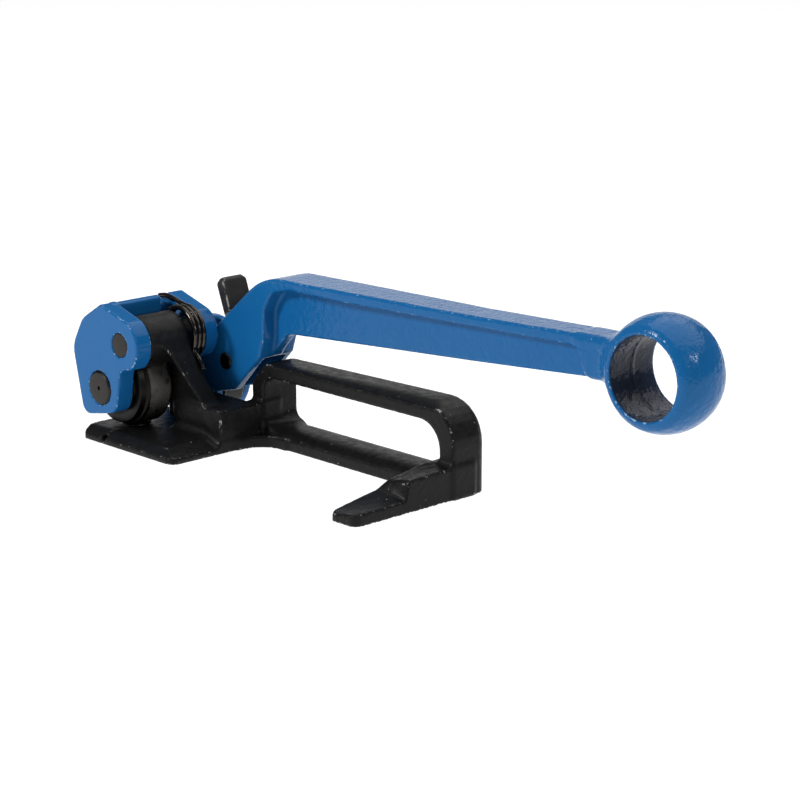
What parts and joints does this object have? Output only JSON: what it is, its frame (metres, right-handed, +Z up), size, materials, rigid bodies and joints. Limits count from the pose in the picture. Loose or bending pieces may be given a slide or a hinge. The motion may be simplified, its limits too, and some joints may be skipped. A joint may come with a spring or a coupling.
{
  "type": "strapping tensioner",
  "caption": "Hand feed-wheel tensioner for steel strap: black cast base with hand loop and nose, blue sprung wheel carrier, blue ratchet lever ending in a ball with a through hole.",
  "frame": {"origin": "on the flat sole, under the feed shaft's axis and in the middle of the strap's path", "axes": "+X along the tool and the strap, towards the ball end; +Y from the open strap side towards the lever; +Z up from the sole"},
  "size_m": [0.3826, 0.0895, 0.1123],
  "materials": {
    "black_paint": "glossy black enamel over a rough sand casting",
    "blue_enamel": "semi-gloss blue enamel with orange peel",
    "black_lever": "satin black",
    "black_oxide": "oiled black oxide",
    "bare_tool_steel": "bare hardened steel, serrated",
    "bright_steel": "machined steel",
    "bronze": "oiled sintered bronze",
    "spring_steel": "oil-tempered wire"
  },
  "bodies": {
    "base": {"base_casting": "black_paint", "gripper_plug": "bare_tool_steel", "plug_grub_screw": "black_oxide", "carrier_spring": "spring_steel"},
    "carrier": {"carrier_frame": "blue_enamel", "pivot_pin": "black_oxide", "pivot_circlip": "black_oxide", "front_bush": "bronze", "rear_bush": "bronze", "front_thrust_washer": "bronze", "rear_thrust_washer": "bronze", "holding_pawl_pin": "black_oxide", "holding_pawl_spring": "spring_steel"},
    "feed_group": {"feed_shaft": "black_oxide", "feed_wheel": "black_oxide", "feed_wheel_key": "bright_steel", "holding_ratchet": "black_oxide", "ratchet_spacer": "bright_steel", "drive_ratchet": "black_oxide", "drive_ratchet_key": "bright_steel", "shaft_end_washer": "bright_steel", "shaft_circlip": "black_oxide"},
    "lever": {"lever_handle": "blue_enamel", "lever_front_bush": "bronze", "lever_rear_bush": "bronze", "drive_pawl_pin": "black_oxide", "pawl_pin_circlip": "black_oxide", "drive_pawl_spring": "spring_steel"},
    "drive_pawl": {"drive_pawl": "black_lever"},
    "holding_pawl": {"holding_pawl": "black_oxide"}
  },
  "joints": [
    {"name": "carrier_lift", "type": "hinge", "parent": "base", "child": "carrier", "pos_m": [0.0179, 0, 0.056], "axis": [0, 1, 0], "range_deg": [0, 4.5], "stiffness_Nm_per_rad": 12, "springref_deg": -20.05, "deforming": ["carrier_spring"]},
    {"name": "lever_swing", "type": "hinge", "parent": "carrier", "child": "lever", "pos_m": [0, 0, 0.03], "axis": [0, -1, 0], "range_deg": [0, 105]},
    {"name": "feed_wheel_spin", "type": "hinge", "parent": "carrier", "child": "feed_group", "pos_m": [0, 0, 0.03], "axis": [0, 1, 0], "continuous": true},
    {"name": "drive_pawl_release", "type": "hinge", "parent": "lever", "child": "drive_pawl", "pos_m": [0.0352, 0, 0.0412], "axis": [0, -1, 0], "range_deg": [0, 12], "stiffness_Nm_per_rad": 0.3, "springref_deg": -17.19, "deforming": ["drive_pawl_spring"]},
    {"name": "holding_pawl_lift", "type": "hinge", "parent": "carrier", "child": "holding_pawl", "pos_m": [-0.0155, 0, 0.0455], "axis": [0, -1, 0], "range_deg": [0, 9], "stiffness_Nm_per_rad": 0.05, "springref_deg": -22.92, "deforming": ["holding_pawl_spring"]}
  ]
}
